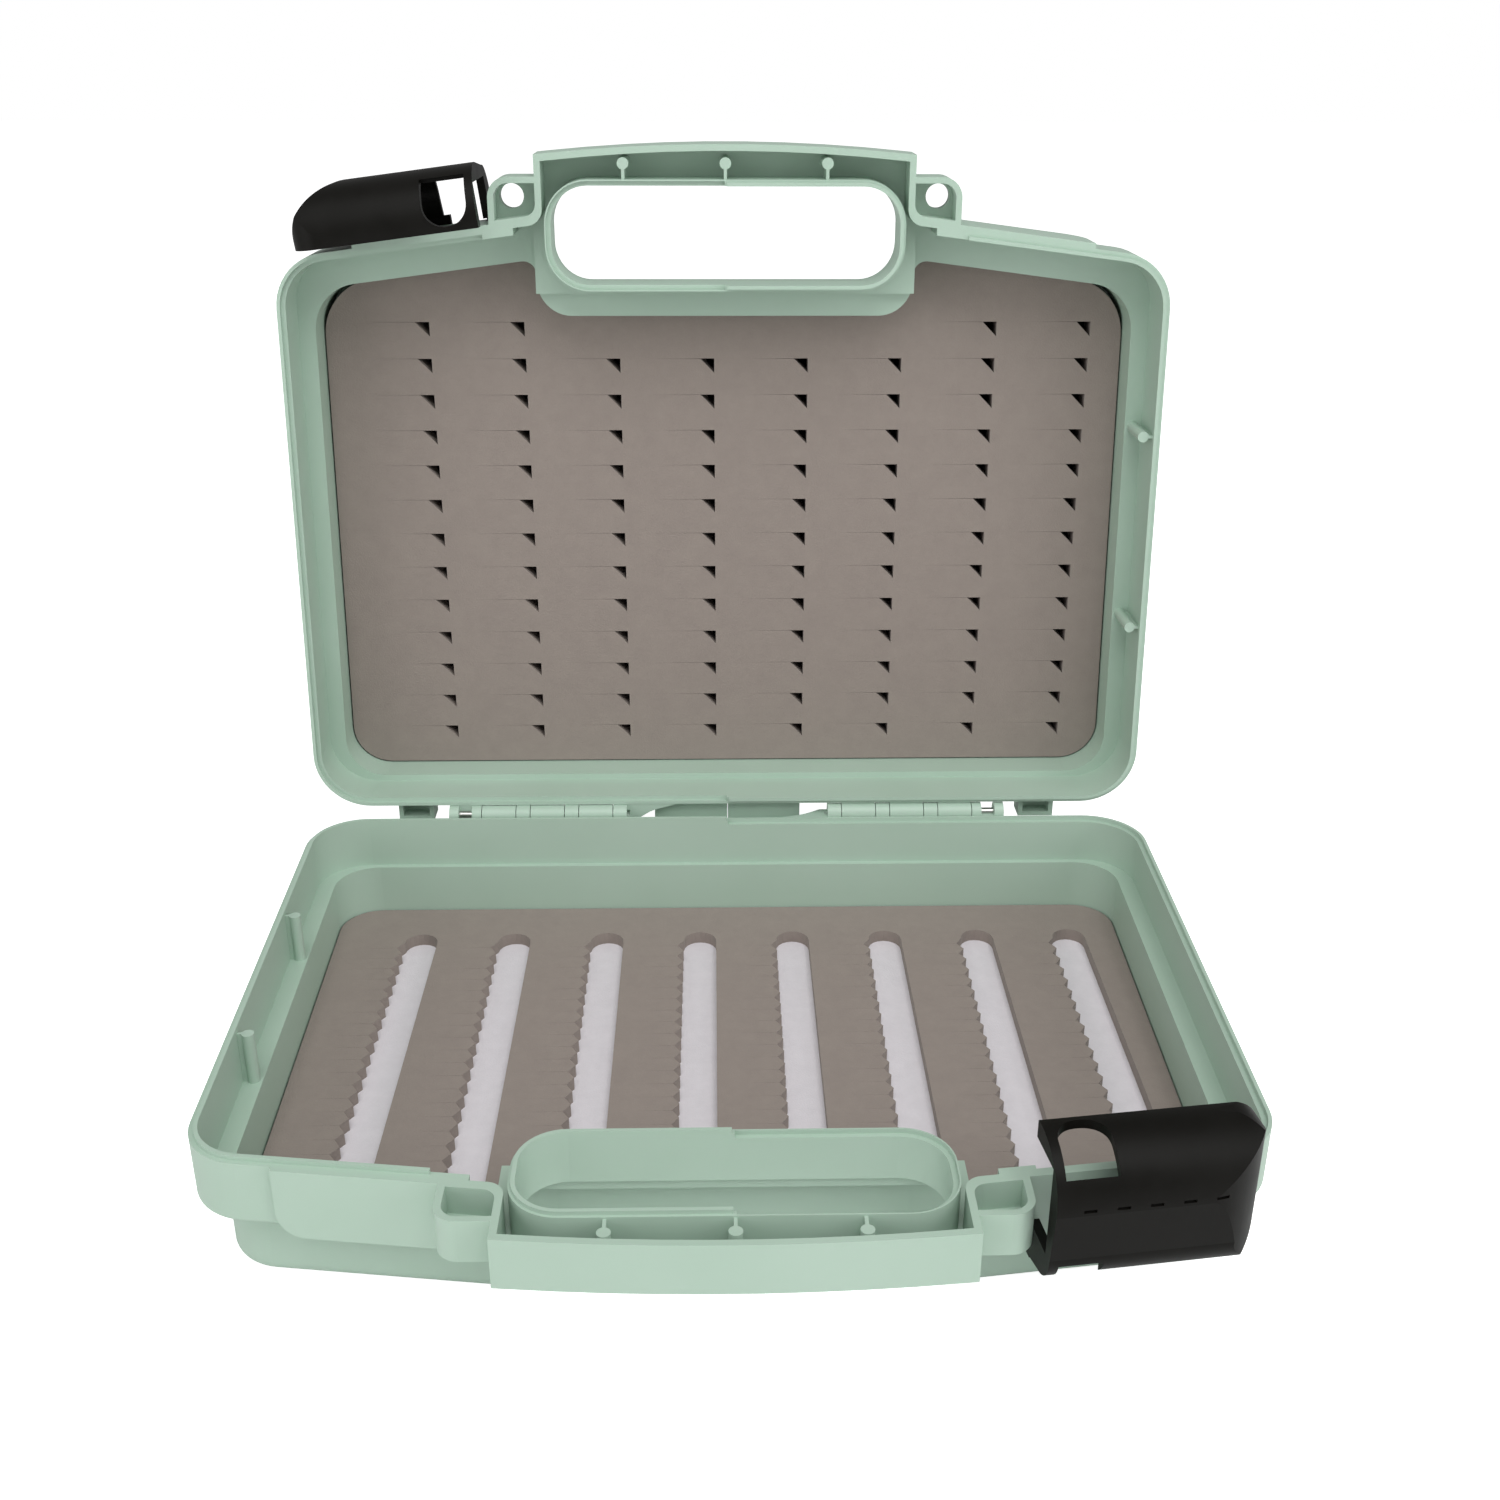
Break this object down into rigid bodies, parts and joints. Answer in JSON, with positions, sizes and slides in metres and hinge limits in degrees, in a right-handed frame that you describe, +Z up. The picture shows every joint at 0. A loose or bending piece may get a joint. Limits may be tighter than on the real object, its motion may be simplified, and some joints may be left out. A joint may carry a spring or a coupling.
{
  "type": "fly fishing case",
  "caption": "Open clamshell fly fishing case with carry handle, slotted and slit foam inserts, pinned hinges and sliding latches.",
  "frame": {"origin": "on the base's flat underside, on the middle line, about midway between its front and its hinge edge", "axes": "+X to the right along the hinge edge, +Y from the handle to the hinges, +Z up out of the base"},
  "size_m": [0.2784, 0.2624, 0.2582],
  "materials": {
    "shell_plastic": "satin",
    "latch_plastic": "satin",
    "grey_foam": "matte",
    "white_foam": "matte",
    "dark_foam": "matte",
    "adhesive_tape": "matte",
    "pin_steel": "drawn wire"
  },
  "bodies": {
    "base": {"base_shell": "shell_plastic", "base_foam": "grey_foam", "base_foam_backing": "white_foam", "base_foam_tape": "adhesive_tape", "hinge_pin_left": "pin_steel", "hinge_pin_right": "pin_steel"},
    "lid": {"lid_shell": "shell_plastic", "lid_foam": "grey_foam", "lid_foam_backing": "dark_foam", "lid_foam_tape": "adhesive_tape"},
    "base_latch": {"base_latch": "latch_plastic"},
    "lid_latch": {"lid_latch": "latch_plastic"}
  },
  "joints": [
    {"name": "lid_hinge", "type": "hinge", "parent": "base", "child": "lid", "pos_m": [0, 0.095, 0.0422], "axis": [1, 0, 0], "range_deg": [0, 91.3]},
    {"name": "base_latch_slide", "type": "slide", "parent": "base", "child": "base_latch", "axis": [-0.9917, -0.1284, 0], "range_m": [0, 0.0126]},
    {"name": "lid_latch_slide", "type": "slide", "parent": "lid", "child": "lid_latch", "axis": [0.9917, 0.0029, 0.1284], "range_m": [0, 0.0126]}
  ]
}
